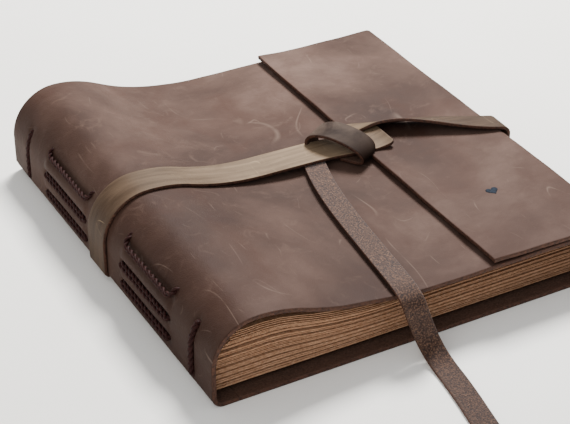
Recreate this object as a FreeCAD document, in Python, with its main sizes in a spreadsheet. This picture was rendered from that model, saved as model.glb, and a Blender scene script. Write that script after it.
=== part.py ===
import FreeCAD, Part
import math
import os

from FreeCAD import Placement, Rotation, Vector

# Wrap-around leather guest book, closed. X runs from the spine to the fore-edge, Y from the tail
# to the head and Z up. The origin is on the table, under the middle of the closed book.

SIZES = [
    # the leather wrapper
    ("book_length", 250, "tail to head"),
    ("book_width", 238, "spine wall to fore-edge wall, outside"),
    ("leather", 2.4, "thickness of the wrapper"),
    ("crest_height", 46.4, "highest point of the cover, beside the spine"),
    ("fore_height", 30, "outside of the front cover at the fore-edge"),
    ("spine_radius", 24, "outside of the round upper spine"),
    ("foot_radius", 6, "outside of the spine's lower corner"),
    ("crest_radius", 75, "outside of the cover just past the crest"),
    ("slope_angle", 20, "steepest slope of the front cover, degrees"),
    ("back_seam", 14, "spine wall to the line where the back cover begins"),
    ("fold_radius", 5, "outside of the folds at the fore-edge"),
    ("flap_length", 81, "fore-edge wall to the free edge of the flap"),
    ("cut_gap", 0.4, "between the stretches of the wrapper"),
    ("soft_gap", 0.4, "between layers that only lie on each other"),
    ("swing_gap", 2.2, "front cover's free edge to the fore-edge wall"),
    # the text block
    ("page_margin", 7, "paper to the wrapper's head and tail edges"),
    ("page_setback", 7, "paper to the inside of the fore-edge wall"),
    ("spine_room", 1.5, "folded sheets to the inside of the spine"),
    ("crest_room", 3.6, "paper to the inside of the cover at the crest"),
    ("leaf", 0.5, "thickness of one loose leaf"),
    ("leaf_count", 3, "loose leaves above the sewn signatures"),
    ("signature_count", 3, "sewn signatures"),
    ("sheet_gap", 0.1, "between two signatures"),
    # the sewing
    ("thread", 1.5, "diameter of the twisted thread"),
    ("hole_clearance", 0.3, "thread to the wall of its hole, on the radius"),
    ("first_row", 11, "height of the lowest row of stitches"),
    ("row_pitch", 11.5, "between two rows of stitches"),
    ("stitch_length", 54, "length of a row of stitches"),
    ("stitch_centre", 50, "middle of the book to the middle of a row"),
    ("end_margin", 22, "head and tail edges to the upright end stitches"),
    ("end_stitch_low", 6, "height of the lower hole of an end stitch"),
    ("end_stitch_high", 32, "height of the upper hole of an end stitch"),
    # the strap
    ("strap_width", 20, "width of the strap round the spine and over the front"),
    ("strap_edge_width", 15, "width of the strap where it has tapered, at the fore-edge"),
    ("strap_end_width", 12.5, "width of the loop and of the free end"),
    ("strap_thickness", 1.8, "thickness of the strap"),
    ("strap_spine_y", 5, "middle of the strap at the spine"),
    ("strap_tongue_y", 5, "middle of the strap at its cut end, the tongue"),
    ("strap_edge_y", -13, "middle of the strap at the fore-edge"),
    ("strap_split", 50, "how far round the spine the strap stays put, degrees"),
    ("slot_clearance", 0.4, "strap to the ends of its slots"),
    ("tongue_past", 15.6, "free edge of the flap to the end of the tongue"),
    ("loop_clearance", 0.5, "loop that the strap is tucked through to the flap's free edge"),
    ("loop_room", 4.3, "edge of the strap to the outside of the loop"),
    ("loop_height", 15, "outside height of the loop"),
    ("loop_askew", 32, "the loop's turn from square across the strap, degrees"),
    ("arch_gap", 2, "end of the tongue to where the strap comes down beside it"),
    ("arch_y", 17, "middle of the strap there"),
    ("arch_height", 9, "rise of the strap above the flap"),
    ("tail_lead", 17, "middle of the loop to the middle of the free end where it leaves"),
    ("tail_drift", 19, "from there to the tail edge, towards the spine"),
    ("tip_drift", 5, "from the tail edge to the tip, towards the spine"),
    ("tail_reach", 100, "tail edge of the book to the strap's tip, on the table"),
    ("brink_radius", 6, "bend of the free end over the tail edge"),
    ("landing_radius", 14, "bend of the free end where it reaches the table"),
    ("drop_angle", 65, "steepest slope of the free end, degrees"),
]

doc = FreeCAD.newDocument("guest_book")
sheet = doc.addObject("Spreadsheet::Sheet", "sizes")
for row, (alias, value, meaning) in enumerate(SIZES, start=1):
    sheet.set("A%d" % row, meaning)
    sheet.set("B%d" % row, str(value))
    sheet.setAlias("B%d" % row, alias)
doc.recompute()
PARTS = []


def size(alias):
    """A driving size, read back from the sheet."""
    return float(sheet.get(alias))


# ---------------------------------------------------------------- paths and bands


def unit(degrees):
    """The direction at this angle from +X towards +Z, in the X-Z plane of a sketch."""
    return Vector(math.cos(math.radians(degrees)), math.sin(math.radians(degrees)), 0)


def trace(start, heading, moves, shift=0.0):
    """The curves of a path of ("go", length) and ("turn", radius, degrees) moves, drawn `shift`
    to the left of it. A turn of positive degrees bends to the left. Returns curves and the end."""
    here = Vector(start) + unit(heading + 90) * shift
    curves = []
    for move in moves:
        if move[0] == "go":
            there = here + unit(heading) * move[1]
            curves.append(Part.LineSegment(here, there))
        else:
            radius, angle = move[1], move[2]
            side = 1 if angle > 0 else -1
            drawn = radius - side * shift
            centre = here + unit(heading + 90 * side) * drawn
            halfway = centre - unit(heading + 90 * side + angle / 2) * drawn
            there = centre - unit(heading + 90 * side + angle) * drawn
            curves.append(Part.Arc(here, halfway, there))
            heading += angle
        here = there
    return curves, here


def band(start, heading, moves, thickness):
    """A closed outline: the path and its parallel, `thickness` to the left of it."""
    near, near_end = trace(start, heading, moves)
    far, far_end = trace(start, heading, moves, thickness)
    far_start = Vector(start) + unit(heading + 90) * thickness
    ends = [Part.LineSegment(near_end, far_end), Part.LineSegment(far_start, Vector(start))]
    return near + far + ends


def polygon(points):
    """A closed outline of straight lines."""
    corners = [Vector(p[0], p[1], 0) for p in points]
    return [Part.LineSegment(a, b) for a, b in zip(corners, corners[1:] + corners[:1])]


# ---------------------------------------------------------------- features


def origin_plane(body, role):
    return next(f for f in body.Origin.OriginFeatures if f.Role == role)


def sketch_on(body, role, name, outline, offset):
    """A sketch on one of the body's own planes, moved along its normal by an expression."""
    sketch = body.newObject("Sketcher::SketchObject", name)
    sketch.AttachmentSupport = [(origin_plane(body, role), "")]
    sketch.MapMode = "FlatFace"
    sketch.addGeometry(outline, False)
    sketch.setExpression("AttachmentOffset.Base.z", offset)
    return sketch


def padded(label, outline, length, head_end):
    """A body drawn in the X-Z plane and padded from the Y position `head_end` towards the tail.
    Both are expressions."""
    body = doc.addObject("PartDesign::Body", label)
    sketch = sketch_on(body, "XZ_Plane", label + "_outline", outline, "-(%s)" % head_end)
    pad = body.newObject("PartDesign::Pad", label + "_pad")
    pad.Profile = sketch
    pad.setExpression("Length", length)
    PARTS.append(body)
    return body


def pocketed(body, name, outline, start, depth):
    """Cuts an outline drawn in the Y-Z plane through the body, from the X position `start`
    onwards by `depth`. Both are expressions."""
    doc.recompute()
    before = body.Shape.Volume
    sketch = sketch_on(body, "YZ_Plane", name + "_outline", outline, start)
    pocket = body.newObject("PartDesign::Pocket", name)
    pocket.Profile = sketch
    pocket.setExpression("Length", depth)
    pocket.Reversed = True
    doc.recompute()
    if body.Shape.Volume > before - 0.5:
        raise RuntimeError(name + " cuts nothing")


def fixed_shape(label, shape):
    """A piece whose shape no sketch or primitive gives."""
    piece = doc.addObject("Part::Feature", label)
    piece.Shape = shape
    PARTS.append(piece)
    return piece


def circle(y, z, radius):
    return Part.Circle(Vector(y, z, 0), Vector(0, 0, 1), radius)


# ---------------------------------------------------------------- the wrapper

HALF = size("book_width") / 2
LEATHER = size("leather")
GAP = size("soft_gap")
SLOPE = size("slope_angle")
CREST_X = -HALF + size("spine_radius")
SEAM_X = -HALF + size("back_seam")
ARC_DROP = 1 - math.cos(math.radians(SLOPE))
CREST_RUN = size("crest_radius") * math.sin(math.radians(SLOPE))
HOLLOW_RADIUS = (
    size("crest_height") - size("fore_height") - size("crest_radius") * ARC_DROP
) / ARC_DROP
HOLLOW_RUN = HOLLOW_RADIUS * math.sin(math.radians(SLOPE))
COVER_MOVES = [
    ("turn", size("crest_radius"), -SLOPE),
    ("turn", HOLLOW_RADIUS, SLOPE),
]
FLAT_X = CREST_X + CREST_RUN + HOLLOW_RUN
COVER_END = HALF - LEATHER - size("swing_gap")
FLAP_TOP = size("fore_height") + GAP + LEATHER


def cover_height(x):
    """The outside of the front cover above the table, at this X."""
    if x < CREST_X + CREST_RUN:
        along = max(0.0, x - CREST_X)
        return size("crest_height") - size("crest_radius") + math.sqrt(size("crest_radius") ** 2 - along**2)
    along = max(0.0, FLAT_X - x)
    return size("fore_height") + HOLLOW_RADIUS - math.sqrt(HOLLOW_RADIUS**2 - along**2)


SLOT_LOW = LEATHER + GAP
SLOT_HIGH = SLOT_LOW + size("strap_thickness")


def slot_outline(middle, width):
    """The slot that the strap is threaded through, the strap's width and its clearance."""
    half = width / 2 + size("slot_clearance")
    low, high = SLOT_LOW - GAP / 2, SLOT_HIGH + GAP / 2
    return polygon(
        [(middle - half, low), (middle + half, low), (middle + half, high), (middle - half, high)]
    )


def back_cover():
    fold_start = HALF - size("fold_radius") - size("cut_gap")
    outline = band((SEAM_X + size("cut_gap"), 0, 0), 0, [("go", fold_start - SEAM_X)], LEATHER)
    padded("back_cover", outline, "sizes.book_length", "sizes.book_length / 2")


def spine_cover():
    foot = size("foot_radius")
    wall = size("crest_height") - size("spine_radius") - foot
    moves = [
        ("go", size("back_seam") - foot),
        ("turn", foot, -90),
        ("go", wall),
        ("turn", size("spine_radius"), -90),
    ]
    outline = band((SEAM_X, 0, 0), 180, moves, -LEATHER)
    body = padded("spine_cover", outline, "sizes.book_length", "sizes.book_length / 2")
    radius = size("thread") / 2 + size("hole_clearance")
    holes = [circle(y, z, radius) for y, z in stitch_holes()]
    reach = "sizes.spine_radius"
    outside = "-sizes.book_width / 2 - sizes.leather"
    pocketed(body, "stitch_holes", holes, outside, reach)
    pocketed(body, "strap_slot_spine", slot_outline(size("strap_spine_y"), size("strap_width")),
             outside, reach)


def front_cover():
    start = CREST_X + size("cut_gap")
    moves = COVER_MOVES + [("go", COVER_END - FLAT_X - size("cut_gap"))]
    outline = band((start, size("crest_height"), 0), 0, moves, -LEATHER)
    padded("front_cover", outline, "sizes.book_length", "sizes.book_length / 2")


def fore_edge_cover():
    fold = size("fold_radius")
    moves = [("turn", fold, 90), ("go", FLAP_TOP - 2 * fold)]
    outline = band((HALF - fold, 0, 0), 0, moves, LEATHER)
    body = padded("fore_edge_cover", outline, "sizes.book_length", "sizes.book_length / 2")
    outside = "sizes.book_width / 2 - 2 * sizes.leather"
    pocketed(body, "strap_slot_edge", slot_outline(size("strap_edge_y"), size("strap_edge_width")),
             outside, "4 * sizes.leather")


def cover_flap():
    fold = size("fold_radius")
    start = (HALF, FLAP_TOP - fold + size("cut_gap"), 0)
    moves = [("turn", fold - size("cut_gap"), 90), ("go", size("flap_length") - fold)]
    outline = band(start, 90, moves, LEATHER)
    padded("cover_flap", outline, "sizes.book_length", "sizes.book_length / 2")


# ---------------------------------------------------------------- the text block


PAPER_LEFT = -HALF + LEATHER + size("spine_room")
PAPER_RIGHT = HALF - LEATHER - size("page_setback")
PAPER_LOW = SLOT_HIGH + GAP
LEAF_PITCH = size("leaf") + GAP
LEAVES_HIGH = size("leaf_count") * LEAF_PITCH
LEAF_HINGE_X = CREST_X + size("spine_room")


def paper_points(level, steps=12):
    """Points from the spine to the fore-edge along a sheet at `level`, from 0 at the bottom of
    the block to 1 at its top. The top sheets keep below the cover, with more room at the crest."""
    stops = [LEAF_HINGE_X + (FLAT_X - LEAF_HINGE_X) * step / steps for step in range(steps + 1)]
    points = []
    for x in stops + [PAPER_RIGHT]:
        crest_share = max(0.0, (FLAT_X - x) / (FLAT_X - LEAF_HINGE_X))
        room = LEATHER + 2 * GAP + size("crest_room") * crest_share**2 + LEAVES_HIGH
        points.append((x, PAPER_LOW + level * (cover_height(x) - room - PAPER_LOW)))
    return points


def round_back(level):
    """The folded edge of the sheets, which follows the round of the spine."""
    middle = abs(2 * level - 1)
    return PAPER_LEFT + (LEAF_HINGE_X - PAPER_LEFT) * 0.45 * middle**3


def signature(index, low, high):
    lower = [(round_back(low), paper_points(low)[0][1])] + paper_points(low)
    upper = [(round_back(high), paper_points(high)[0][1])] + paper_points(high)
    lifted = [(x, z - size("sheet_gap")) for x, z in upper]
    padded("signature_%d" % index, polygon(lower + lifted[::-1]),
           "sizes.book_length - 2 * sizes.page_margin", "sizes.book_length / 2 - sizes.page_margin")


def leaf(index):
    """One loose leaf, which turns about the crest. Leaf 1 is the lowest."""
    lift = GAP / 2 + (index - 1) * LEAF_PITCH
    low = [(x, z + lift) for x, z in paper_points(1)]
    high = [(x, z + size("leaf")) for x, z in low]
    padded("leaf_%d" % index, polygon(low + high[::-1]),
           "sizes.book_length - 2 * sizes.page_margin", "sizes.book_length / 2 - sizes.page_margin")


# ---------------------------------------------------------------- the sewing


END_STITCH_Y = size("book_length") / 2 - size("end_margin")


def rows():
    """(name, middle, height) of every row of stitches."""
    for group, side in (("head", 1), ("tail", -1)):
        for number in (1, 2, 3):
            height = size("first_row") + (number - 1) * size("row_pitch")
            yield "%s_row_%d" % (group, number), side * size("stitch_centre"), height


def stitch_holes():
    """(y, z) of every hole in the spine."""
    half = size("stitch_length") / 2
    holes = [(middle + end * half, height) for _, middle, height in rows() for end in (-1, 1)]
    for side in (-1, 1):
        holes += [(side * END_STITCH_Y, size(a)) for a in ("end_stitch_low", "end_stitch_high")]
    return holes


def spine_out(height):
    """The outside of the spine at this height."""
    centre = size("crest_height") - size("spine_radius")
    over = max(0.0, height - centre)
    under = max(0.0, size("foot_radius") - height)
    upper = size("spine_radius") - math.sqrt(size("spine_radius") ** 2 - over**2)
    lower = size("foot_radius") - math.sqrt(size("foot_radius") ** 2 - under**2)
    return -HALF + upper + lower


def thread_tube(points):
    """A round thread along straight runs, with balls at its corners."""
    radius = size("thread") / 2
    corners = [Vector(*p) for p in points]
    solid = None
    for a, b in zip(corners, corners[1:]):
        run = Part.makeCylinder(radius, (b - a).Length, a, b - a)
        solid = run if solid is None else solid.fuse(run)
    for corner in corners[1:-1]:
        solid = solid.fuse(Part.makeSphere(radius, corner))
    return solid.removeSplitter()


def stitch(name, ends):
    """A staple of thread through two holes: two legs and the run between them, outside."""
    radius = size("thread") / 2
    inward = LEATHER + size("spine_room") / 2
    outside = min(spine_out(z + lift) for _, z in ends for lift in (-radius, radius)) - radius - GAP
    points = []
    for y, z in ends:
        leg = (spine_out(z) + inward, y, z)
        points.append([leg, (outside, y, z)])
    route = points[0] + points[1][::-1]
    fixed_shape(name, thread_tube(route))


# ---------------------------------------------------------------- the strap


STRAP = size("strap_thickness")
SKIN = STRAP + GAP
FRONT_HALF = size("strap_width") / 2
EDGE_HALF = size("strap_edge_width") / 2
END_HALF = size("strap_end_width") / 2
ASKEW = math.radians(size("loop_askew"))
STRAP_REACH = (FRONT_HALF + END_HALF * math.sin(ASKEW)) / math.cos(ASKEW)
LOOP_SPAN = 2 * (STRAP_REACH + size("loop_room"))
LOOP_REACH = LOOP_SPAN / 2 * math.sin(ASKEW) + END_HALF * math.cos(ASKEW)
FLAP_EDGE = HALF + size("cut_gap") - size("flap_length")
LOOP_X = FLAP_EDGE - size("loop_clearance") - LOOP_REACH
LOOP_FLOOR = cover_height(LOOP_X - LOOP_REACH) + GAP
TONGUE_X = FLAP_EDGE + size("tongue_past")
TONGUE_FLOOR = max(FLAP_TOP + GAP, LOOP_FLOOR + SKIN)
TAIL_START_X = LOOP_X - size("tail_lead")
TAIL_BRINK_X = TAIL_START_X - size("tail_drift")
TAIL_TIP_X = TAIL_BRINK_X - size("tip_drift")


def front_line(x):
    """The middle of the strap at this X, from the spine to the tongue."""
    share = (x + HALF) / (TONGUE_X + HALF)
    return size("strap_spine_y") + share * (size("strap_tongue_y") - size("strap_spine_y"))


def flat_outline(corners, height):
    """A face with these plan corners, at this height."""
    points = [Vector(x, y, height) for x, y in corners]
    return Part.Face(Part.makePolygon(points + points[:1]))


def strip_plan(route):
    """The plan of a strip along (x, y, half width) points, its cut ends square to `route`'s
    longer direction."""
    along_x = abs(route[-1][0] - route[0][0]) > abs(route[-1][1] - route[0][1])
    sides = [[(x, y + s * half) if along_x else (x + s * half, y) for x, y, half in route]
             for s in (-1, 1)]
    return sides[0] + sides[1][::-1]


def swept(outline, across):
    """A band drawn in a vertical plane, along X or along Y, as a wide sheet."""
    wire = Part.Wire(Part.__sortEdges__([c.toShape() for c in outline]))
    face = Part.Face(wire)
    face.rotate(Vector(0, 0, 0), Vector(1, 0, 0), 90)
    reach = 2 * size("book_length")
    if across == "Y":
        face.translate(Vector(0, reach / 2, 0))
        return face.extrude(Vector(0, -reach, 0))
    face.rotate(Vector(0, 0, 0), Vector(0, 0, 1), 90)
    face.translate(Vector(-reach / 2, 0, 0))
    return face.extrude(Vector(reach, 0, 0))


def strap_piece(label, outline, route, across="Y"):
    """A band cut to a strip along `route`, its (x, y, half width) points in plan."""
    cutter = flat_outline(strip_plan(route), -size("book_width")).extrude(
        Vector(0, 0, 2 * size("book_width")))
    return fixed_shape(label, swept(outline, across).common(cutter))


def strap_inner():
    """The hidden stretch, threaded between the back cover and the text block."""
    ends = HALF - LEATHER - GAP
    plan = strip_plan([(-ends, size("strap_spine_y"), FRONT_HALF), (ends, size("strap_edge_y"), EDGE_HALF)])
    fixed_shape("strap_inner", flat_outline(plan, SLOT_LOW).extrude(Vector(0, 0, STRAP)))


def spine_moves():
    rise = size("crest_height") - size("spine_radius") - SLOT_LOW
    return [("go", rise), ("turn", size("spine_radius") + GAP, -size("strap_split"))]


def strap_spine():
    """Out of the slot in the spine and part of the way round it."""
    start = (-HALF - GAP, SLOT_LOW, 0)
    _, end = trace(start, 90, spine_moves())
    outline = band(start, 90, spine_moves(), STRAP)
    route = [(-HALF - SKIN, front_line(-HALF), FRONT_HALF), (end.x, front_line(end.x), FRONT_HALF)]
    strap_piece("strap_spine", outline, route)


def strap_front():
    """On over the crest and above the front cover, through the loop, to the end of the tongue."""
    turned = size("strap_split")
    _, start = trace((-HALF - GAP, SLOT_LOW, 0), 90, spine_moves())
    start = start + unit(90 - turned) * size("cut_gap")
    lift = size("crest_height") + GAP
    hollow = (lift - TONGUE_FLOOR - size("crest_radius") * ARC_DROP) / ARC_DROP
    run = CREST_RUN + hollow * math.sin(math.radians(SLOPE))
    moves = [
        ("turn", size("spine_radius") + GAP, turned - 90),
        ("turn", size("crest_radius"), -SLOPE),
        ("turn", hollow, SLOPE),
        ("go", TONGUE_X - CREST_X - run),
    ]
    route = [(x, front_line(x), FRONT_HALF) for x in (start.x, TONGUE_X)]
    strap_piece("strap_front", band(start, 90 - turned, moves, STRAP), route)


def strap_loop():
    """The half knot: a flat ring of strap round the strap itself, open where it comes down."""
    corner = size("loop_height") / 2
    flat = LOOP_SPAN - 2 * corner
    moves = [("go", flat), ("turn", corner, 180), ("go", flat), ("turn", corner, 120)]
    outline = band((-flat / 2, LOOP_FLOOR, 0), 0, moves, STRAP)
    ring = Part.Face(Part.Wire(Part.__sortEdges__([c.toShape() for c in outline])))
    ring.rotate(Vector(0, 0, 0), Vector(1, 0, 0), 90)
    ring.translate(Vector(0, END_HALF, 0))
    solid = ring.extrude(Vector(0, -2 * END_HALF, 0))
    solid.rotate(Vector(0, 0, 0), Vector(0, 0, 1), size("loop_askew") - 90)
    solid.translate(Vector(LOOP_X, front_line(LOOP_X), 0))
    fixed_shape("strap_loop", solid)


def strap_edge():
    """Out of the slot in the fore-edge wall and up to the fold."""
    start = (HALF + SKIN, SLOT_LOW, 0)
    rise = FLAP_TOP - size("fold_radius") - SLOT_LOW
    route = [(x, size("strap_edge_y"), EDGE_HALF) for x in (HALF + GAP, HALF + SKIN)]
    strap_piece("strap_edge", band(start, 90, [("go", rise)], STRAP), route)


def strap_flap():
    """Round the fold and over the flap in a low arch, down beside the tongue."""
    fold = size("fold_radius") + SKIN - size("cut_gap")
    start = (HALF + SKIN, FLAP_TOP - size("fold_radius") + size("cut_gap"), 0)
    foot_x = TONGUE_X + size("arch_gap")
    length = HALF - size("fold_radius") - foot_x
    half_rise = math.degrees(math.atan(size("arch_height") / (length / 2)))
    swing = length / 4 / math.sin(math.radians(2 * half_rise))
    moves = [
        ("turn", fold, 90),
        ("turn", swing, -2 * half_rise),
        ("turn", swing, 4 * half_rise),
        ("turn", swing, -2 * half_rise),
    ]
    route = [
        (foot_x, size("arch_y"), END_HALF),
        (HALF - size("fold_radius"), size("strap_edge_y"), EDGE_HALF),
        (HALF + SKIN, size("strap_edge_y"), EDGE_HALF),
    ]
    strap_piece("strap_flap", band(start, 90, moves, STRAP), route)


BRINK_Y = -size("book_length") / 2 - 2 * GAP
TAIL_LOW = cover_height(TAIL_BRINK_X - END_HALF) + GAP


def strap_tail_upper():
    """The free end, over the front cover from the loop to the tail edge."""
    start_y = front_line(TAIL_START_X) - FRONT_HALF
    outline = band((start_y, TAIL_LOW, 0), 180, [("go", start_y - BRINK_Y)], -STRAP)
    route = [(TAIL_START_X, start_y, END_HALF), (TAIL_BRINK_X, BRINK_Y, END_HALF)]
    strap_piece("strap_tail_upper", outline, route, "X")


def strap_tail_end():
    """The free end, over the edge and down to the table, to its tip."""
    bends = size("brink_radius") + size("landing_radius")
    angle = size("drop_angle")
    drop = TAIL_LOW - bends * (1 - math.cos(math.radians(angle)))
    straight = drop / math.sin(math.radians(angle))
    start_y = BRINK_Y - size("cut_gap")
    bend_run = bends * math.sin(math.radians(angle)) + straight * math.cos(math.radians(angle))
    tip_y = -size("book_length") / 2 - size("tail_reach")
    moves = [
        ("turn", size("brink_radius"), angle),
        ("go", straight),
        ("turn", size("landing_radius"), -angle),
        ("go", start_y - bend_run - tip_y),
    ]
    outline = band((start_y, TAIL_LOW, 0), 180, moves, -STRAP)
    route = [(TAIL_BRINK_X, start_y, END_HALF), (TAIL_TIP_X, tip_y, END_HALF)]
    strap_piece("strap_tail_end", outline, route, "X")


# ---------------------------------------------------------------- assembly

back_cover()
spine_cover()
front_cover()
fore_edge_cover()
cover_flap()
SIGNATURES = int(size("signature_count"))
for number in range(SIGNATURES):
    signature(number + 1, number / SIGNATURES, (number + 1) / SIGNATURES)
for number in range(int(size("leaf_count"))):
    leaf(number + 1)
for name, middle, height in rows():
    reach = size("stitch_length") / 2
    stitch(name, [(middle - reach, height), (middle + reach, height)])
for name, side in (("head_end_stitch", 1), ("tail_end_stitch", -1)):
    where = side * END_STITCH_Y
    stitch(name, [(where, size("end_stitch_low")), (where, size("end_stitch_high"))])
strap_inner()
strap_spine()
strap_front()
strap_loop()
strap_edge()
strap_flap()
strap_tail_upper()
strap_tail_end()
doc.recompute()

for thing in doc.Objects:
    if {"Invalid", "Error"} & set(thing.State):
        raise RuntimeError("%s failed: %s" % (thing.Label, thing.State))
for part in PARTS:
    if part.Shape.isNull() or not part.Shape.isValid() or len(part.Shape.Solids) != 1:
        raise RuntimeError("%s is not one sound solid" % part.Label)

os.makedirs("parts", exist_ok=True)
for part in PARTS:
    part.Shape.exportStep("parts/%s.step" % part.Label)
    box = part.Shape.BoundBox
    print("%-18s x %7.1f %7.1f  y %7.1f %7.1f  z %6.1f %6.1f" % (
        part.Label, box.XMin, box.XMax, box.YMin, box.YMax, box.ZMin, box.ZMax))
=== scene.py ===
import math

import bmesh
import bpy
import numpy as np
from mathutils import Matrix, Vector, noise


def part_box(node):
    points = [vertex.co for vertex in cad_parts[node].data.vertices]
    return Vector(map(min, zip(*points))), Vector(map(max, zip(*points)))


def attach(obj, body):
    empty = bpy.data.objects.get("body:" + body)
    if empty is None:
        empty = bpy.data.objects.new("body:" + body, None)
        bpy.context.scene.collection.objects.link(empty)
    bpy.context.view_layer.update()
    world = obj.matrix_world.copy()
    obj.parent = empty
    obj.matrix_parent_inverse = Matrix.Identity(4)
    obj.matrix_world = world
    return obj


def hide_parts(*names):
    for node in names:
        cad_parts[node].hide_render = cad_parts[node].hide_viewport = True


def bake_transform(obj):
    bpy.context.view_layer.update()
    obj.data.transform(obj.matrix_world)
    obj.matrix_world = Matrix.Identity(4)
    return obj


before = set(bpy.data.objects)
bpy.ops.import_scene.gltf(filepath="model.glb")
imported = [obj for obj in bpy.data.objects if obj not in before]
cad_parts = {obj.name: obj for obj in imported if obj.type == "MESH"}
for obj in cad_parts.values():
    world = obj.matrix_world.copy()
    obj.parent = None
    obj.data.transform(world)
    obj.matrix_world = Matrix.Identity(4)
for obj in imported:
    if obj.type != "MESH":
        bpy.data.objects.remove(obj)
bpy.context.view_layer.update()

# The looks of a wrap-around leather guest book. X runs from the spine to the fore-edge, Y from the
# tail to the head, Z up. Shapes are worked out in millimetres and scaled as their meshes are made.

MM = 0.001
RANDOM = np.random.default_rng(11)


def node_box(name):
    """Lowest and highest corner of a CAD node, in mm."""
    low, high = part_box(name)
    return np.array(low) / MM, np.array(high) / MM


def node_middle(name):
    low, high = node_box(name)
    return (low + high) / 2


# ---------------------------------------------------------------- sizes

LEATHER = 2.4
SPINE_RADIUS = 24.0
FOOT_RADIUS = 6.0
CREST_RADIUS = 75.0
SLOPE = 20.0
FOLD_RADIUS = 5.0
STRAP = 1.8
LAYER_GAP = 0.4
LOOP_WIDTH = 12.5

SPINE_LOW, SPINE_HIGH = node_box("spine_cover")
FRONT_LOW, FRONT_HIGH = node_box("front_cover")
FLAP_LOW, FLAP_HIGH = node_box("cover_flap")
BACK_LOW = node_box("back_cover")[0]
PAGES_LOW, PAGES_HIGH = node_box("signature_1")
SPINE_X = SPINE_LOW[0]
TAIL_Y, HEAD_Y = SPINE_LOW[1], SPINE_HIGH[1]
CREST_X, CREST_Z = SPINE_HIGH[0], SPINE_HIGH[2]
FORE_Z = FRONT_LOW[2] + LEATHER
FORE_X = FLAP_HIGH[0]
ARC_DROP = 1 - math.cos(math.radians(SLOPE))
HOLLOW_RADIUS = (CREST_Z - FORE_Z - CREST_RADIUS * ARC_DROP) / ARC_DROP
HOLLOW_RUN = (CREST_RADIUS + HOLLOW_RADIUS) * math.sin(math.radians(SLOPE))
ROW_LOW, ROW_HIGH = node_box("head_row_1")
ROW_HEIGHTS = [node_middle("head_row_%d" % n)[2] for n in (1, 2, 3)]
ROW_HALF = (ROW_HIGH[1] - ROW_LOW[1]) / 2 - 0.8
ROW_MIDDLE = node_middle("head_row_1")[1]
END_STITCH_Y = node_middle("head_end_stitch")[1]


# ---------------------------------------------------------------- materials


def paint(red, green, blue):
    """A colour given as it looks on a screen, from 0 to 255, in the light that it stands for."""
    return tuple((c / 255) ** 2.2 for c in (red, green, blue)) + (1.0,)


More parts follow.
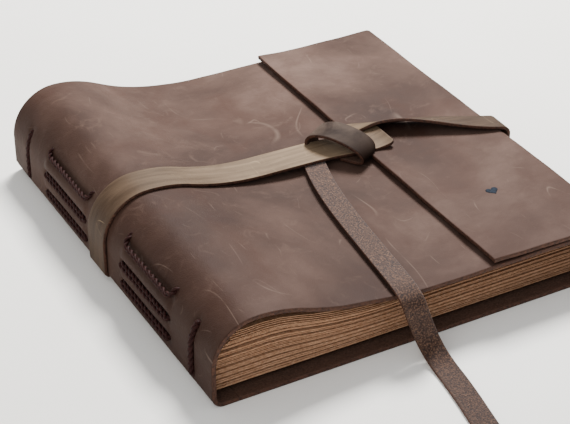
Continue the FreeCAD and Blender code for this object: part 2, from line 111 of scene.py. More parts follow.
class Finish:
    """A material's node tree, with short ways to add what these surfaces need. Patterns are fixed to
    the place that each point has on the closed book, so they don't slide when the book opens."""

    def __init__(self, name, roughness=0.6, specular=0.4):
        self.material = bpy.data.materials.new(name)
        self.material.use_nodes = True
        self.tree = self.material.node_tree
        self.surface = self.tree.nodes["Principled BSDF"]
        self.surface.inputs["Roughness"].default_value = roughness
        self.surface.inputs["Specular IOR Level"].default_value = specular
        attribute = self.tree.nodes.new("ShaderNodeAttribute")
        attribute.attribute_name = "place"
        self.place = attribute.outputs["Vector"]

    def link(self, start, end):
        self.tree.links.new(start, end)

    def stretched(self, x, y, z):
        """The place, scaled along each axis."""
        mapping = self.tree.nodes.new("ShaderNodeMapping")
        mapping.inputs["Scale"].default_value = (x, y, z)
        self.link(self.place, mapping.inputs["Vector"])
        return mapping.outputs["Vector"]

    def noise(self, scale, detail=4.0, roughness=0.55, distortion=0.0, place=None):
        """Cloudy values from 0 to 1. Scale is how many clouds there are to a metre."""
        node = self.tree.nodes.new("ShaderNodeTexNoise")
        node.inputs["Scale"].default_value = scale
        node.inputs["Detail"].default_value = detail
        node.inputs["Roughness"].default_value = roughness
        node.inputs["Distortion"].default_value = distortion
        self.link(place or self.place, node.inputs["Vector"])
        return node.outputs["Fac"]

    def cells(self, scale):
        node = self.tree.nodes.new("ShaderNodeTexVoronoi")
        node.inputs["Scale"].default_value = scale
        self.link(self.place, node.inputs["Vector"])
        return node.outputs["Distance"]

    def ramp(self, value, *stops):
        """Colours, or brightnesses, by value."""
        node = self.tree.nodes.new("ShaderNodeValToRGB")
        elements = node.color_ramp.elements
        while len(elements) < len(stops):
            elements.new(0.5)
        for element, (position, colour) in zip(elements, stops):
            element.position = position
            element.color = colour if isinstance(colour, tuple) else (colour, colour, colour, 1)
        self.link(value, node.inputs["Fac"])
        return node.outputs["Color"]

    def mix(self, share, first, second):
        node = self.tree.nodes.new("ShaderNodeMix")
        node.data_type = "RGBA"
        for value, socket in ((share, node.inputs[0]), (first, node.inputs[6]), (second, node.inputs[7])):
            if isinstance(value, (float, tuple)):
                socket.default_value = value
            else:
                self.link(value, socket)
        return node.outputs[2]

    def math(self, operation, first, second):
        node = self.tree.nodes.new("ShaderNodeMath")
        node.operation = operation
        for value, socket in zip((first, second), node.inputs):
            if isinstance(value, (int, float)):
                socket.default_value = value
            else:
                self.link(value, socket)
        return node.outputs[0]

    def along(self, axis, low, high):
        """From 0 at `low` to 1 at `high`, in mm along an axis."""
        split = self.tree.nodes.new("ShaderNodeSeparateXYZ")
        self.link(self.place, split.inputs[0])
        node = self.tree.nodes.new("ShaderNodeMapRange")
        node.inputs["From Min"].default_value = low * MM
        node.inputs["From Max"].default_value = high * MM
        self.link(split.outputs[axis], node.inputs["Value"])
        return node.outputs[0]

    def colour(self, value):
        self.link(value, self.surface.inputs["Base Color"])

    def rough(self, value, low, high):
        node = self.tree.nodes.new("ShaderNodeMapRange")
        node.inputs["To Min"].default_value = low
        node.inputs["To Max"].default_value = high
        self.link(value, node.inputs["Value"])
        self.link(node.outputs[0], self.surface.inputs["Roughness"])

    def bump(self, *layers):
        """Relief from (values, depth in mm) layers."""
        normal = None
        for height, depth in layers:
            node = self.tree.nodes.new("ShaderNodeBump")
            node.inputs["Strength"].default_value = 1.0
            node.inputs["Distance"].default_value = depth * MM
            self.link(height, node.inputs["Height"])
            if normal is not None:
                self.link(normal, node.inputs["Normal"])
            normal = node.outputs["Normal"]
        self.link(normal, self.surface.inputs["Normal"])


def scratches(finish, scale, width):
    """Thin wandering lines, 1 on a line: the places where a stretched cloud crosses its middle."""
    cloud = finish.noise(scale, 1.0, 0.3, 0.15, finish.stretched(1.0, 0.45, 1.0))
    off = finish.math("ABSOLUTE", finish.math("SUBTRACT", cloud, 0.5), 0)
    line = finish.ramp(off, (0.0, 1.0), (width, 0.0))
    patches = finish.ramp(finish.noise(scale * 1.7, 2), (0.52, 0.0), (0.66, 1.0))
    return finish.math("MULTIPLY", line, patches)


def cover_leather():
    """Waxed pull-up leather: clouded taupe with rubbed brown patches, and painted shade that darkens it
    towards the tail and on the spine.
    """
    finish = Finish("pull_up_leather", specular=0.07)
    clouds = finish.noise(9, 8, 0.6, 0.3)
    base = finish.ramp(
        clouds,
        (0.28, paint(42, 28, 23)),
        (0.44, paint(62, 46, 39)),
        (0.56, paint(80, 62, 54)),
        (0.74, paint(108, 88, 79)),
    )
    warm = finish.ramp(finish.noise(21, 5, 0.6, 0.8), (0.50, 0.0), (0.70, 0.45))
    base = finish.mix(warm, base, paint(62, 40, 31))
    rubbed = finish.ramp(finish.noise(75, 6, 0.7, 1.2), (0.56, 0.0), (0.74, 0.35))
    base = finish.mix(rubbed, base, paint(104, 84, 73))
    # Painted shade: darker towards the tail, where the light falls off towards the front of the book.
    near_tail = finish.math("MULTIPLY", finish.along(1, 20, -125), 0.45)
    base = finish.mix(near_tail, base, paint(50, 34, 28))
    # Painted shade: the spine, turned away from the key light, is darkened.
    spine_painted_shade = finish.ramp(finish.along(0, SPINE_X, SPINE_X + 24), (0.0, 0.5), (1.0, 0.0))
    base = finish.mix(spine_painted_shade, base, paint(44, 27, 19))
    lines = finish.math("ADD", scratches(finish, 17, 0.0035), scratches(finish, 41, 0.005))
    lines = finish.math("MULTIPLY", lines, 0.24)
    finish.colour(finish.mix(lines, base, paint(140, 120, 106)))
    finish.rough(clouds, 0.5, 0.78)
    finish.surface.inputs["Sheen Weight"].default_value = 0.02
    finish.surface.inputs["Sheen Roughness"].default_value = 0.5
    pores = finish.cells(1500)
    creases = finish.noise(260, 6, 0.65, 0.4)
    finish.bump((finish.noise(60, 5), 0.5), (creases, 0.16), (pores, 0.05))
    return finish.material


def flesh_side():
    """The dark napped inside of the cover."""
    finish = Finish("cover_flesh", roughness=0.92, specular=0.15)
    nap = finish.noise(900, 5, 0.7)
    patches = finish.noise(40, 5)
    base = finish.ramp(nap, (0.3, paint(50, 36, 30)), (0.7, paint(86, 65, 54)))
    finish.colour(finish.mix(finish.ramp(patches, (0.4, 0.0), (0.7, 0.4)), base, paint(78, 56, 46)))
    finish.bump((nap, 0.14), (patches, 0.2))
    return finish.material


def cut_edge():
    """The burnished cut edge of the leather, dark with a fibrous middle."""
    finish = Finish("cut_edge", specular=0.25)
    fibres = finish.noise(700, 5, 0.7)
    base = finish.ramp(fibres, (0.32, paint(34, 20, 15)), (0.66, paint(82, 54, 41)))
    finish.colour(base)
    finish.rough(fibres, 0.6, 0.85)
    finish.bump((fibres, 0.12))
    return finish.material


def strap_grain():
    """Waxed strap, worn tan where it is handled before the knot, and darker at both its ends; at the tongue
    end this darkening is painted shadow from the knot's arches.
    """
    finish = Finish("strap_grain", specular=0.06)
    worn = finish.ramp(finish.along(0, SPINE_X, 30), (0.0, 0.0), (0.55, 0.6), (1.0, 1.0))
    streaks = finish.noise(1, 5, 0.6, 0.3, finish.stretched(22, 240, 60))
    dark = finish.ramp(streaks, (0.3, paint(54, 42, 33)), (0.7, paint(78, 63, 51)))
    light = finish.ramp(streaks, (0.3, paint(104, 86, 68)), (0.7, paint(140, 119, 96)))
    base = finish.mix(worn, dark, light)
    # Painted shadow: the tongue darkens where the strap's arch over the flap and the loop shade it.
    base = finish.mix(finish.along(0, 28, 60), base, dark)
    stains = finish.ramp(finish.noise(45, 5, 0.6, 0.6), (0.52, 0.0), (0.75, 0.45))
    base = finish.mix(stains, base, paint(70, 54, 42))
    lines = finish.math("MULTIPLY", scratches(finish, 60, 0.006), 0.5)
    finish.colour(finish.mix(lines, base, paint(164, 140, 110)))
    finish.rough(streaks, 0.42, 0.62)
    finish.bump((finish.noise(300, 6, 0.65), 0.12), (finish.cells(1700), 0.04))
    return finish.material


def loop_grain():
    """The same strap in the knot's loop, with painted shade darkening its front, which faces away from the
    key light.
    """
    finish = Finish("loop_grain", specular=0.05)
    clouds = finish.noise(55, 5, 0.6, 0.4)
    base = finish.ramp(clouds, (0.32, paint(44, 34, 29)), (0.68, paint(92, 79, 70)))
    # Painted shade: the loop darkens towards its front and underside, on the tail side.
    finish.colour(finish.mix(finish.along(1, 18, -12), base, paint(30, 20, 15)))
    finish.rough(clouds, 0.55, 0.75)
    finish.bump((finish.noise(320, 6, 0.65), 0.1), (finish.cells(1700), 0.035))
    return finish.material


def suede():
    """The flesh side of the strap, turned up along its free end: mottled nap with pale flecks, and painted
    shade where it runs down past the cover's edge.
    """
    finish = Finish("strap_suede", roughness=0.95, specular=0.1)
    nap = finish.noise(1100, 3, 0.75)
    base = finish.ramp(
        nap, (0.36, paint(27, 16, 11)), (0.5, paint(58, 38, 28)), (0.66, paint(104, 76, 58))
    )
    # Painted shade: the free end darkens past the cover's edge, where it slopes down in the book's shade.
    darker = finish.ramp(finish.along(1, -100, -215), (0.0, 0.0), (1.0, 0.4))
    finish.colour(finish.mix(darker, base, paint(38, 24, 17)))
    finish.surface.inputs["Sheen Weight"].default_value = 0.2
    finish.surface.inputs["Sheen Roughness"].default_value = 0.6
    finish.bump((nap, 0.3), (finish.noise(120, 4), 0.25))
    return finish.material


def kraft():
    """Recycled kraft paper: fibres and small flecks, with painted shade that darkens it towards the
    fore-edge, where the cover closes over the pages.
    """
    finish = Finish("kraft_paper", roughness=0.9, specular=0.1)
    fibres = finish.noise(620, 5, 0.65)
    base = finish.ramp(
        fibres, (0.28, paint(130, 94, 70)), (0.5, paint(156, 119, 92)), (0.72, paint(180, 143, 115))
    )
    # Painted shade: the pages darken towards the fore-edge, in the shade of the closing cover.
    fore_edge_shade = finish.ramp(finish.along(0, -60, 110), (0.0, 0.0), (1.0, 0.75))
    base = finish.mix(fore_edge_shade, base, paint(90, 64, 48))
    flecks = finish.ramp(finish.noise(1500, 2), (0.68, 0.0), (0.76, 0.5))
    finish.colour(finish.mix(flecks, base, paint(214, 178, 142)))
    finish.bump((fibres, 0.08), (finish.noise(800, 4), 0.05))
    return finish.material


def waxed_thread():
    """Dark red-brown waxed thread, dulled by handling."""
    finish = Finish("waxed_thread", specular=0.08)
    fibres = finish.noise(1400, 4, 0.6)
    finish.colour(finish.ramp(fibres, (0.3, paint(20, 11, 10)), (0.7, paint(58, 34, 31))))
    finish.rough(fibres, 0.5, 0.7)
    finish.bump((fibres, 0.06))
    return finish.material


def stamp_ink():
    """Blue-grey foil pressed into the flap."""
    finish = Finish("stamp_ink", specular=0.1)
    worn = finish.noise(900, 4)
    finish.colour(finish.ramp(worn, (0.3, paint(20, 25, 32)), (0.7, paint(40, 48, 58))))
    finish.rough(worn, 0.7, 0.9)
    return finish.material


def pale_floor():
    finish = Finish("pale_floor", roughness=0.7, specular=0.2)
    clouds = finish.noise(3, 4)
    finish.colour(finish.ramp(clouds, (0.3, paint(243, 239, 230)), (0.7, paint(249, 246, 239))))
    return finish.material


# ---------------------------------------------------------------- mesh tools


def add_piece(name, mesh, materials):
    """Cleans a mesh, notes each point's place on it, and adds it to the scene."""
    work = bmesh.new()
    work.from_mesh(mesh)
    bmesh.ops.remove_doubles(work, verts=work.verts, dist=0.002 * MM)
    bmesh.ops.dissolve_degenerate(work, edges=work.edges, dist=0.001 * MM)
    bmesh.ops.recalc_face_normals(work, faces=work.faces)
    work.to_mesh(mesh)
    work.free()
    for material in materials:
        mesh.materials.append(material)
    mesh.polygons.foreach_set("use_smooth", [True] * len(mesh.polygons))
    places = np.zeros(len(mesh.vertices) * 3, np.float32)
    mesh.vertices.foreach_get("co", places)
    mesh.attributes.new("place", "FLOAT_VECTOR", "POINT").data.foreach_set("vector", places)
    piece = bpy.data.objects.new(name, mesh)
    bpy.context.scene.collection.objects.link(piece)
    return piece


def ring_faces(rings, sides):
    """The faces between rings of points, each ring joined to the next."""
    return [
        (i * sides + k, i * sides + (k + 1) % sides, (i + 1) * sides + (k + 1) % sides, (i + 1) * sides + k)
        for i in range(rings - 1) for k in range(sides)
    ]


class Shape:
    """Collects points, in mm, and marked faces, for one mesh."""

    def __init__(self):
        self.points, self.faces, self.marks = [], [], []
        self.count = 0

    def add(self, points, faces, marks):
        self.points.append(np.asarray(points, float).reshape(-1, 3))
        self.faces += [tuple(self.count + corner for corner in face) for face in faces]
        self.marks += marks
        self.count += len(self.points[-1])

    def add_sheet(self, middle, outward, shares, thickness):
        """A sheet of this thickness about a grid of middle points. Marks: 0 outer side, 1 inner
        side, 2 cut edge."""
        rows, columns = shares.shape
        lift = outward * (shares * thickness / 2)[..., None]
        sides = np.concatenate([(middle + lift).reshape(-1, 3), (middle - lift).reshape(-1, 3)])
        faces, marks = [], []
        for i in range(rows - 1):
            for j in range(columns - 1):
                corner = i * columns + j
                quad = (corner, corner + columns, corner + columns + 1, corner + 1)
                rim = shares[i:i + 2, j:j + 2].min() < EDGE_SHARE
                faces += [quad, tuple(rows * columns + c for c in reversed(quad))]
                marks += [2, 2] if rim else [0, 1]
        self.add(sides, faces, marks)

    def add_tube(self, line, radius, sides=8):
        """A round strand along a line, closed at both ends."""
        ahead = np.gradient(line, axis=0)
        ahead /= np.linalg.norm(ahead, axis=1)[:, None]
        side = np.cross(ahead[0], (0.31, 0.2, 0.93))
        rings = []
        for point, direction in zip(line, ahead):
            side = side - direction * (side @ direction)
            side /= np.linalg.norm(side)
            other = np.cross(direction, side)
            turns = np.arange(sides) * 2 * math.pi / sides
            rings.append(point + radius * (np.outer(np.cos(turns), side) + np.outer(np.sin(turns), other)))
        count = len(line)
        faces = ring_faces(count, sides)
        faces += [tuple(range(sides)), tuple(range((count - 1) * sides, count * sides))]
        self.add(np.concatenate(rings), faces, [0] * len(faces))

    def piece(self, name, materials, slot=None):
        mesh = bpy.data.meshes.new(name)
        mesh.from_pydata((np.concatenate(self.points) * MM).tolist(), [], self.faces)
        mesh.polygons.foreach_set("material_index", self.marks)
        return add_piece(name, mesh, materials)


EDGE_SHARE = 0.85
RIM = [(0.0, 0.0), (0.0, 0.6), (0.07, 0.88), (0.22, 1.0)]


def stations(length, step, thickness, joined=False):
    """Places from edge to edge of a sheet, and the share of its thickness that it has there: a
    square cut edge with worn corners. Where its start is joined to the next sheet, it is flush."""
    inner = np.linspace(0.5 * thickness, length - 0.5 * thickness, max(2, math.ceil(length / step)))
    insets = [inset * thickness for inset, _ in RIM]
    shares = [share for _, share in RIM]
    first, first_shares = ([0.0, 0.0], [0.0, 1.0]) if joined else (insets, shares)
    places = np.concatenate([first, inner, [length - inset for inset in reversed(insets)]])
    return places, np.concatenate([first_shares, np.ones(len(inner)), shares[::-1]])


def smooth_line(points):
    """Points along the NURBS line that these points, in mm, control."""
    curve = bpy.data.curves.new("line", "CURVE")
    curve.dimensions = "3D"
    spline = curve.splines.new("NURBS")
    spline.points.add(len(points) - 1)
    for control, point in zip(spline.points, points):
        control.co = [value * MM for value in point] + [1.0]
    spline.order_u = 3
    spline.use_endpoint_u = True
    spline.resolution_u = 14
    holder = bpy.data.objects.new("line", curve)
    bpy.context.scene.collection.objects.link(holder)
    mesh = bpy.data.meshes.new_from_object(holder)
    line = np.array([vertex.co for vertex in mesh.vertices]) / MM
    bpy.data.objects.remove(holder)
    return line


def lengths_along(line):
    return np.concatenate([[0], np.cumsum(np.linalg.norm(np.diff(line, axis=0), axis=1))])


def at_lengths(line, lengths, places):
    return np.stack([np.interp(places, lengths, line[:, axis]) for axis in range(3)], axis=1)


def ribbon(shape, left, right, thickness, corners=(0.0, 0.0), step=1.6):
    """A flat strip between two edge lines with matching points. The outer side faces
    ahead x (left to right). Its ends' corners are rounded to these radii."""
    lengths = lengths_along((left + right) / 2)
    along, end_shares = stations(lengths[-1], step, thickness)
    left, right = at_lengths(left, lengths, along), at_lengths(right, lengths, along)
    width = np.linalg.norm(right - left, axis=1)
    across, side_shares = stations(width.mean(), 1.6, thickness)
    across = across / width.mean()
    inset = np.zeros(len(along))
    for radius, distance in zip(corners, (along, along[-1] - along)):
        if radius:
            into = np.clip(radius - distance, 0, radius)
            inset = np.maximum(inset, radius - np.sqrt(radius**2 - into**2))
    narrowed = (inset / width)[:, None] + across[None, :] * (1 - 2 * inset / width)[:, None]
    middle = left[:, None, :] + (right - left)[:, None, :] * narrowed[..., None]
    centre = (left + right) / 2
    spaced = centre + np.linspace(0, 1e-6, len(centre))[:, None]
    ahead = np.gradient(spaced, axis=0)
    ahead[0], ahead[1] = ahead[2], ahead[2]
    ahead[-1], ahead[-2] = ahead[-3], ahead[-3]
    outward = np.cross(ahead, right - left)
    outward /= np.linalg.norm(outward, axis=1)[:, None]
    outward = np.repeat(outward[:, None, :], len(across), axis=1)
    shares = np.minimum(end_shares[:, None], side_shares[None, :])
    shape.add_sheet(middle, outward, shares, thickness)


class Profile:
    """A path in the X-Z plane of ("go", length) and ("turn", radius, degrees) moves."""

    FINE = 0.5

    def __init__(self, start, heading, moves):
        x, z = start
        points = [(x, z, heading)]
        for move in moves:
            bend = 0.0 if move[0] == "go" else move[2]
            length = move[1] if move[0] == "go" else move[1] * math.radians(abs(bend))
            count = max(2, math.ceil(length / self.FINE))
            for step in range(count):
                direction = math.radians(heading + bend * (step + 0.5) / count)
                x += length / count * math.cos(direction)
                z += length / count * math.sin(direction)
                points.append((x, z, heading + bend * (step + 1) / count))
            heading += bend
        self.x, self.z, self.heading = np.array(points).T
        self.s = np.concatenate([[0], np.cumsum(np.hypot(np.diff(self.x), np.diff(self.z)))])
        self.length = self.s[-1]

    def at(self, places):
        return [np.interp(places, self.s, values) for values in (self.x, self.z, self.heading)]


# ---------------------------------------------------------------- the cover's shape

SEAM_X = BACK_LOW[0] - 0.2
COVER = Profile(
    (SEAM_X, 0),
    180,
    [
        ("go", SEAM_X - SPINE_X - FOOT_RADIUS),
        ("turn", FOOT_RADIUS, -90),
        ("go", CREST_Z - SPINE_RADIUS - FOOT_RADIUS),
        ("turn", SPINE_RADIUS, -90),
        ("turn", CREST_RADIUS, -SLOPE),
        ("turn", HOLLOW_RADIUS, SLOPE),
        ("go", FRONT_HIGH[0] - CREST_X - HOLLOW_RUN),
    ],
)
ON_TOP = COVER.x[COVER.s >= COVER.s[np.argmax(COVER.z)]]
TOP_Z = COVER.z[COVER.s >= COVER.s[np.argmax(COVER.z)]]
SLIT_DEPTHS = (2.3, 2.5, 1.0)
UPRIGHT = (COVER.s > 8) & (COVER.s <= COVER.s[np.argmax(COVER.z)])


def cover_height(x):
    return np.interp(x, ON_TOP, TOP_Z)


def spine_out(z):
    """X of the outside of the spine at this height."""
    return np.interp(z, COVER.z[UPRIGHT], COVER.x[UPRIGHT])


def bell(distance, width):
    return math.exp(-((distance / width) ** 2))


def within(value, half, soft):
    """1 inside +-half, falling to 0 over `soft`."""
    share = min(1.0, max(0.0, (half + soft - abs(value)) / soft))
    return share * share * (3 - 2 * share)


def cover_relief(x, y, z):
    """How far the cover stands out from its plain shape: the soft swell of the hide, the crest's
    rise at the head, the slits that the rows of thread sit in and the lips between them."""
    if z < FOOT_RADIUS:
        return 0.0
    lift = 0.55 * noise.noise((x / 55, y / 55, 0.3)) + 0.18 * noise.noise((x / 17, y / 17, 4.1))
    lift += 3.0 * within(y - HEAD_Y, 10, 110) * bell(x - CREST_X - 8, 30)
    if x > CREST_X:
        near_tail = bell(y - TAIL_Y, 22)
        return lift + near_tail * (0.9 * bell(x + 27, 22) + 0.4 * noise.noise((x / 26, 2.2, 7.0)))
    for side in (-1, 1):
        inside = within(y - side * ROW_MIDDLE, ROW_HALF - 1, 3.5)
        for height, depth in zip(ROW_HEIGHTS, SLIT_DEPTHS):
            lift -= depth * inside * bell(z - height, 2.1)
        for height in ((ROW_HEIGHTS[0] + ROW_HEIGHTS[1]) / 2, (ROW_HEIGHTS[1] + ROW_HEIGHTS[2]) / 2):
            lift += 0.9 * inside * bell(z - height, 3.4)
        lift -= 0.9 * bell(y - side * END_STITCH_Y, 1.8) * within(z - 20, 15, 4)
    return lift


def profile_sheet(profile, inward, along_step, thickness, relief, low_y, high_y, y_step):
    """The middle grid, outward directions and thickness shares of a leather sheet whose outside
    follows a profile. `inward` is 1 where its inside is to the left of the path, or -1."""
    along, along_shares = stations(profile.length, along_step, thickness, joined=True)
    across, across_shares = stations(high_y - low_y, y_step, thickness)
    x, z, heading = profile.at(along)
    turn = np.radians(heading + 90 * inward)
    inside = np.stack([np.cos(turn), np.zeros(len(turn)), np.sin(turn)], axis=1)
    y = low_y + across
    middle = np.zeros((len(along), len(across), 3))
    for i in range(len(along)):
        for j in range(len(across)):
            out = relief(x[i], y[j], z[i])
            middle[i, j] = (x[i], y[j], z[i])
            middle[i, j] += inside[i] * (thickness / 2 - out)
    outward = np.repeat(-inside[:, None, :], len(across), axis=1)
    return middle, outward, np.minimum(along_shares[:, None], across_shares[None, :])


def spine_and_front(skins):
    shape = Shape()
    shape.add_sheet(*profile_sheet(COVER, -1, 1.3, LEATHER, cover_relief, TAIL_Y, HEAD_Y, 1.7), LEATHER)
    piece = shape.piece("spine_and_front_cover", skins, "cover_leather")
    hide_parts("spine_cover", "front_cover")
    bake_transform(piece)


def flap_relief(x, y, z):
    """Nothing below, where the back lies on the table; a soft swell on the flap."""
    on_flap = max(0.0, min(1.0, (z - FLAP_HIGH[2] + 4) / 4))
    swell = 0.5 + 0.6 * noise.noise((x / 45, y / 45, 9.0)) + 0.2 * noise.noise((x / 15, y / 15, 2.0))
    free_edge = 0.9 * bell(x - FLAP_LOW[0], 12) * (1 + noise.noise((3.0, y / 40, 1.0)))
    return on_flap * (swell + free_edge)


def back_and_flap(skins):
    profile = Profile(
        (SEAM_X, 0),
        0,
        [
            ("go", FORE_X - FOLD_RADIUS - SEAM_X),
            ("turn", FOLD_RADIUS, 90),
            ("go", FLAP_HIGH[2] - 2 * FOLD_RADIUS),
            ("turn", FOLD_RADIUS, 90),
            ("go", FORE_X - FOLD_RADIUS - FLAP_LOW[0]),
        ],
    )
    shape = Shape()
    shape.add_sheet(*profile_sheet(profile, 1, 1.8, LEATHER, flap_relief, TAIL_Y, HEAD_Y, 2.2), LEATHER)
    piece = shape.piece("back_cover_and_flap", skins, "cover_leather")
    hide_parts("back_cover", "fore_edge_cover", "cover_flap")
    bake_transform(piece)


def heart_stamp(ink):
    """A small plain heart pressed into the flap."""
    centre, width = (75.0, -70.0), 7.0
    shape = Shape()
    turns = np.linspace(0, 2 * math.pi, 49)[:-1]
    outline = np.stack([16 * np.sin(turns) ** 3, 13 * np.cos(turns) - 5 * np.cos(2 * turns)
                        - 2 * np.cos(3 * turns) - np.cos(4 * turns)], axis=1) * width / 32
    rings = []
    for share, height in ((1.0, 0.0), (1.0, 0.10), (0.82, 0.16), (0.4, 0.12), (0.05, 0.12)):
        for px, py in outline * share:
            x, y = centre[0] + px, centre[1] + py
            rings.append((x, y, FLAP_HIGH[2] + flap_relief(x, y, FLAP_HIGH[2]) + height))
    count = len(outline)
    faces = ring_faces(5, count)
    faces += [tuple(range(count)), tuple(range(4 * count, 5 * count))]
    shape.add(rings, faces, [0] * len(faces))
    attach(shape.piece("heart_stamp", [ink], "cover_leather"), "flap")


# ---------------------------------------------------------------- paper

PAPER_LOW = PAGES_LOW[2]
PAPER_RIGHT = PAGES_HIGH[0]
PAPER_LEFT = PAGES_LOW[0]
CREST_ROOM = 8.0
LEAF_PITCH = 0.9
LEAF_COUNT = 3
GROUPS = 3
SHEETS = 3
SHEET = 0.46
FLAT_X = CREST_X + HOLLOW_RUN


def paper_top(x):
    share = np.clip((FLAT_X - x) / (FLAT_X - CREST_X), 0, 1)
    room = LEATHER + 2 * LAYER_GAP + CREST_ROOM * share + LEAF_COUNT * LEAF_PITCH
    return cover_height(x) - room


def paper_sheet(shape, level, left, right, tail, head, thickness, lift=0.0, seed=0.0):
    """One sheet at a level of the block, from 0 at the bottom to 1 at the top."""
    along, along_shares = stations(right - left, 9.0, thickness)
    across, across_shares = stations(head - tail, 30.0, thickness)
    x, y = left + along, tail + across
    z = PAPER_LOW + level * (paper_top(np.maximum(x, CREST_X)) - PAPER_LOW) + lift
    middle = np.zeros((len(x), len(y), 3))
    for i in range(len(x)):
        for j in range(len(y)):
            wave = 0.09 * noise.noise((x[i] / 30, y[j] / 60, seed))
            middle[i, j] = (x[i], y[j], z[i] + wave)
    outward = np.zeros_like(middle)
    outward[..., 2] = 1
    shape.add_sheet(middle, outward, np.minimum(along_shares[:, None], across_shares[None, :]), thickness)


def signatures(paper):
    total = 3 * GROUPS
    for number in range(3):
        shape = Shape()
        for group in range(GROUPS):
            push = RANDOM.uniform(-0.5, 0.5)
            for sheet in range(SHEETS):
                place = number * GROUPS + group + 0.12 + 0.76 * (sheet + 0.5) / SHEETS
                level = place / total
                rounded = 0.45 * max(0.0, 2 * level - 1) ** 3 + 0.04
                left = PAPER_LEFT + (CREST_X + 1.5 - PAPER_LEFT) * rounded
                shift = push + RANDOM.uniform(-0.35, 0.35)
                paper_sheet(shape, level, left, PAPER_RIGHT + shift, PAGES_LOW[1] + shift,
                            PAGES_HIGH[1] + RANDOM.uniform(-0.6, 0.3), SHEET, seed=place)
        piece = shape.piece("signature_%d_sheets" % (number + 1), [paper] * 3, "kraft_paper")
        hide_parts("signature_%d" % (number + 1))
        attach(piece, "root")


def leaves(paper):
    for number in range(1, LEAF_COUNT + 1):
        shape = Shape()
        lift = 0.45 + (number - 1) * LEAF_PITCH
        paper_sheet(shape, 1.0, CREST_X - 12, PAPER_RIGHT - 0.4 * number, PAGES_LOW[1] + 0.3 * number,
                    PAGES_HIGH[1] - 0.2 * number, 0.4, lift=lift, seed=50.0 + number)
        piece = shape.piece("loose_leaf_%d" % number, [paper] * 3, "kraft_paper")
        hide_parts("leaf_%d" % number)
        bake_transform(piece)


# ---------------------------------------------------------------- sewing

STRAND = 0.78
ROPE_PITCH = 8.2


def rope(shape, points, strands=2, start=0.0):
    """A laid thread: strands that wind round a smooth line."""
    line = smooth_line(points)
    lengths = lengths_along(line)
    places = np.linspace(0, lengths[-1], math.ceil(lengths[-1] / 0.55))
    line = at_lengths(line, lengths, places)
    ahead = np.gradient(line, axis=0)
    ahead /= np.linalg.norm(ahead, axis=1)[:, None]
    side = np.cross(ahead, (1.0, 0.0, 0.05))
    side /= np.linalg.norm(side, axis=1)[:, None]
    other = np.cross(ahead, side)
    for strand in range(strands):
        turn = 2 * math.pi * (places / ROPE_PITCH + strand / strands) + start
        offset = STRAND * (np.cos(turn)[:, None] * side + np.sin(turn)[:, None] * other)
        shape.add_tube(line + offset, STRAND)


def stitch_row(name, side, number, thread):
    """A row of thread. The top row is pulled up at both ends to holes above it; the lower rows are
    two threads deep in their slits."""
    height = ROW_HEIGHTS[number - 1]
    middle = side * ROW_MIDDLE
    low, high = middle - ROW_HALF, middle + ROW_HALF
    shape = Shape()
    top = number == 3
    for z, depth in ((height, 1.1),) if top else ((height - 0.9, 0.2), (height + 1.1, -0.4)):
        x = float(spine_out(z)) - depth
        end_z = height + (4.0 if top else 0.0)
        inside = float(spine_out(end_z)) + LEATHER + 0.5
        outside = float(spine_out(end_z)) - 0.7
        run = [(x - 0.25 * (step % 2), low + (high - low) * step / 6, z) for step in range(1, 6)]
        points = [(inside, low, end_z), (outside, low, end_z), (x, low + 1.6, z)]
        points += run + [(x, high - 1.6, z), (outside, high, end_z), (inside, high, end_z)]
        rope(shape, points, start=z)
    piece = shape.piece(name + "_thread", [thread], "waxed_thread")
    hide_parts(name)
    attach(piece, "root")


def end_stitch(name, side, thread):
    """The upright stitch near the head or tail: two threads side by side, round the spine."""
    shape = Shape()
    heights = (36.0, 36.0, 32.0, 26.0, 19.0, 12.0, 6.5, 5.0)
    for shift in (-0.3, 0.5):
        y = side * END_STITCH_Y + shift
        points = [(float(spine_out(z)) - 0.45, y, z) for z in heights]
        points[0] = (float(spine_out(36.0)) + LEATHER, y, 35.0)
        points[-1] = (float(spine_out(5.0)) + LEATHER, y, 5.5)
        rope(shape, points, start=shift)
    piece = shape.piece(name + "_thread", [thread], "waxed_thread")
    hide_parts(name)
    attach(piece, "root")


# ---------------------------------------------------------------- strap


def edges(rows):
    """The two edge lines of a strip, from (centre, half of the way across) rows."""
    centres = np.array([row[0] for row in rows], float)
    halves = np.array([row[1] for row in rows], float)
    return smooth_line(centres - halves), smooth_line(centres + halves)


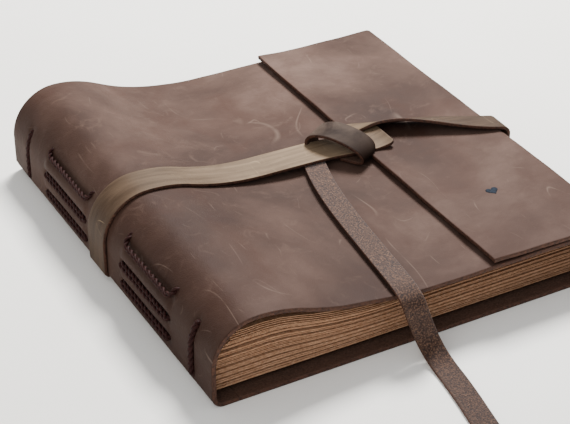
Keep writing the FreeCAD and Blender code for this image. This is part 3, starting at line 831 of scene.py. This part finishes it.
def main_strap(skins):
    """Round the spine, over the crest and through the loop to the tongue."""
    width = 20.0
    clear = LAYER_GAP + STRAP / 2
    tongue_z = FLAP_HIGH[2] + LAYER_GAP + STRAP / 2 + 0.4
    drop = CREST_Z + clear - tongue_z
    hollow = (drop - (CREST_RADIUS + clear) * ARC_DROP) / ARC_DROP
    run = (CREST_RADIUS + clear + hollow) * math.sin(math.radians(SLOPE))
    end_x = node_box("strap_front")[1][0]
    slot_z = LEATHER + LAYER_GAP + STRAP / 2
    bend = 2.4
    path = Profile(
        (SPINE_X + 4, slot_z),
        180,
        [
            ("go", 4 + clear - bend),
            ("turn", bend, -90),
            ("go", CREST_Z - SPINE_RADIUS - slot_z - bend),
            ("turn", SPINE_RADIUS + clear, -90),
            ("turn", CREST_RADIUS + clear, -SLOPE),
            ("turn", hollow, SLOPE),
            ("go", end_x - CREST_X - run),
        ],
    )
    places = np.linspace(0, path.length, 260)
    x, z, _ = path.at(places)
    y = np.interp(x, (SPINE_X, -60, -25, 15, 36, end_x), (5.0, 8.0, 9.6, 8.6, 5.5, 3.8))
    y = np.convolve(np.pad(y, 12, mode="edge"), np.ones(25) / 25, mode="valid")
    z = z + 2.6 * np.clip((x - 40) / (end_x - 40), 0, 1) ** 2
    half = np.interp(x, (SPINE_X, 20, end_x), (width / 2, width / 2, width / 2 + 0.8))
    centre = np.stack([x, y, z], axis=1)
    across = np.stack([np.zeros(len(x)), half, np.zeros(len(x))], axis=1)
    shape = Shape()
    ribbon(shape, centre - across, centre + across, STRAP, corners=(0.0, 3.0))
    piece = shape.piece("strap_over_cover", skins, "strap_leather")
    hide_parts("strap_spine", "strap_front")
    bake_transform(piece)


LOOP_MIDDLE = (25.0, 8.0)
LOOP_ASKEW = math.radians(32)
LOOP_ALONG = np.array((math.sin(LOOP_ASKEW), -math.cos(LOOP_ASKEW), 0.0))
LOOP_ACROSS = np.array((math.cos(LOOP_ASKEW), math.sin(LOOP_ASKEW), 0.0))


def strap_loop(skins):
    """The half knot: from under the strap up behind it, over it in a leaning arch, and down in
    front, closing on itself underneath."""
    narrow, wide = LOOP_WIDTH / 2 - 1, 9.0
    section = [
        (2.0, 31.9, narrow), (-8.0, 31.9, narrow), (-13.0, 32.0, narrow), (-15.0, 34.0, 6.5),
        (-15.2, 37.8, 7.5), (-12.6, 41.4, 8.5), (-5.5, 43.6, wide), (3.0, 43.4, wide), (12.0, 41.4, wide),
        (18.5, 38.4, 8.5), (20.5, 34.8, 7.0), (18.5, 32.0, narrow), (6.0, 31.9, narrow),
    ]
    rows = []
    for u, z, half in section:
        lean = LOOP_ACROSS * (half - narrow) * 0.75
        centre = np.array((*LOOP_MIDDLE, 0.0)) + LOOP_ALONG * u + lean + (0, 0, z)
        rows.append((centre - LOOP_ACROSS * 2, LOOP_ACROSS * half))
    left, right = edges(rows)
    shape = Shape()
    ribbon(shape, left, right, STRAP, step=1.2)
    piece = shape.piece("strap_knot_loop", skins, "strap_leather")
    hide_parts("strap_loop")
    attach(piece, "strap")


def strap_over_flap(skins):
    """From the slot in the fore-edge, round the fold and over the flap in a low twisted arch, down
    behind the tongue."""
    rows = [
        ((116.5, -13.0, 3.7), (0.0, 7.5, 0.0)),
        ((120.3, -13.0, 3.7), (0.0, 7.5, 0.0)),
        ((120.5, -13.0, 14.0), (0.0, 7.5, 0.0)),
        ((121.0, -13.0, 27.0), (0.0, 7.5, 0.0)),
        ((120.9, -13.0, 34.4), (0.0, 7.5, 0.0)),
        ((112.5, -10.5, 35.0), (1.2, 7.3, -0.2)),
        ((98.0, -3.5, 36.0), (1.8, 7.0, -1.0)),
        ((83.0, 4.0, 37.6), (2.2, 6.6, -2.6)),
        ((69.0, 10.5, 38.4), (2.6, 5.4, -3.8)),
        ((57.0, 15.0, 37.8), (2.4, 4.8, -3.6)),
        ((48.0, 18.0, 36.2), (1.8, 5.0, -1.8)),
        ((40.0, 20.0, 34.9), (1.2, 6.0, -0.4)),
    ]
    left, right = edges(rows)
    shape = Shape()
    ribbon(shape, right, left, STRAP, step=1.4)
    piece = shape.piece("strap_over_flap", skins, "strap_leather")
    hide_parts("strap_edge", "strap_flap")
    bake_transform(piece)


def strap_inside(skins):
    """The hidden stretch between the back cover and the pages."""
    low, high = node_box("strap_inner")
    z = (low[2] + high[2]) / 2
    rows = [
        ((low[0], 5.0, z), (0, 10.0, 0)),
        ((0.0, -4.0, z), (0, 8.75, 0)),
        ((high[0], -13.0, z), (0, 7.5, 0)),
    ]
    left, right = edges(rows)
    shape = Shape()
    ribbon(shape, right, left, STRAP, step=6.0)
    piece = shape.piece("strap_under_pages", skins, "strap_leather")
    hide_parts("strap_inner")
    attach(piece, "root")


TAIL_ROUTE = [
    (8.5, 6.0, 32.2), (5.2, -5.0, 32.3), (1.2, -19.0, 32.5), (-3.8, -45.0, 32.6),
    (-7.0, -72.0, 32.6), (-10.2, -100.0, 32.9), (-13.5, -122.0, 34.4), (-14.0, -132.0, 31.5),
    (-11.0, -134.5, 20.0), (-7.5, -138.0, 8.0), (-6.0, -147.0, 1.1), (-8.5, -168.0, 1.1),
    (-14.0, -197.0, 1.1), (-19.0, -224.5, 1.1),
]


def strap_tail(skins):
    """The free end, suede side up: over the cover, over its edge and along the table."""
    line = smooth_line(TAIL_ROUTE)
    half = np.array((math.cos(math.radians(8)), -math.sin(math.radians(8)), 0.0)) * LOOP_WIDTH / 2
    shape = Shape()
    ribbon(shape, line - half, line + half, STRAP, corners=(0.0, 1.5))
    piece = shape.piece("strap_free_end", skins, "strap_leather")
    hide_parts("strap_tail_upper", "strap_tail_end")
    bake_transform(piece)


# ---------------------------------------------------------------- room


def floor():
    half = 3.0
    mesh = bpy.data.meshes.new("floor")
    corners = [(-half, -half, 0), (half, -half, 0), (half, half, 0), (-half, half, 0)]
    mesh.from_pydata(corners, [], [(0, 1, 2, 3)])
    add_piece("floor", mesh, [pale_floor()])


def area_light(name, place, turn, size, power):
    light = bpy.data.lights.new(name, "AREA")
    light.size = size
    light.energy = power
    lamp = bpy.data.objects.new(name, light)
    lamp.location = place
    lamp.rotation_euler = [math.radians(angle) for angle in turn]
    bpy.context.scene.collection.objects.link(lamp)


def studio():
    area_light("key", (0.52, 0.6, 1.05), (-28, 24, 0), 0.42, 50)
    area_light("fill", (-1.1, -0.7, 1.0), (42, -44, 0), 1.4, 11)
    world = bpy.data.worlds.new("studio")
    world.use_nodes = True
    world.node_tree.nodes["Background"].inputs["Color"].default_value = (0.92, 0.95, 1.0, 1)
    world.node_tree.nodes["Background"].inputs["Strength"].default_value = 0.7
    bpy.context.scene.world = world


def camera():
    view = bpy.data.cameras.new("camera")
    view.sensor_width = 36
    view.lens = 107.94
    holder = bpy.data.objects.new("camera", view)
    holder.location = (-0.3915, -0.69025, 0.5105)
    holder.rotation_euler = (math.radians(57.45), 0, math.radians(-28.82))
    bpy.context.scene.collection.objects.link(holder)
    bpy.context.scene.camera = holder


# ---------------------------------------------------------------- making

camera()
strap, suede_side, edge = strap_grain(), suede(), cut_edge()
strap_tail([suede_side, strap, edge])
cover_skins = [cover_leather(), flesh_side(), edge]
spine_and_front(cover_skins)
back_and_flap(cover_skins)
heart_stamp(stamp_ink())
paper_finish = kraft()
signatures(paper_finish)
leaves(paper_finish)
thread_finish = waxed_thread()
for group, direction in (("head", 1), ("tail", -1)):
    for row_number in (1, 2, 3):
        stitch_row("%s_row_%d" % (group, row_number), direction, row_number, thread_finish)
    end_stitch("%s_end_stitch" % group, direction, thread_finish)
main_strap([strap, cover_skins[1], edge])
strap_loop([loop_grain(), cover_skins[1], edge])
strap_over_flap([strap, cover_skins[1], edge])
strap_inside([strap, suede_side, edge])
floor()
studio()
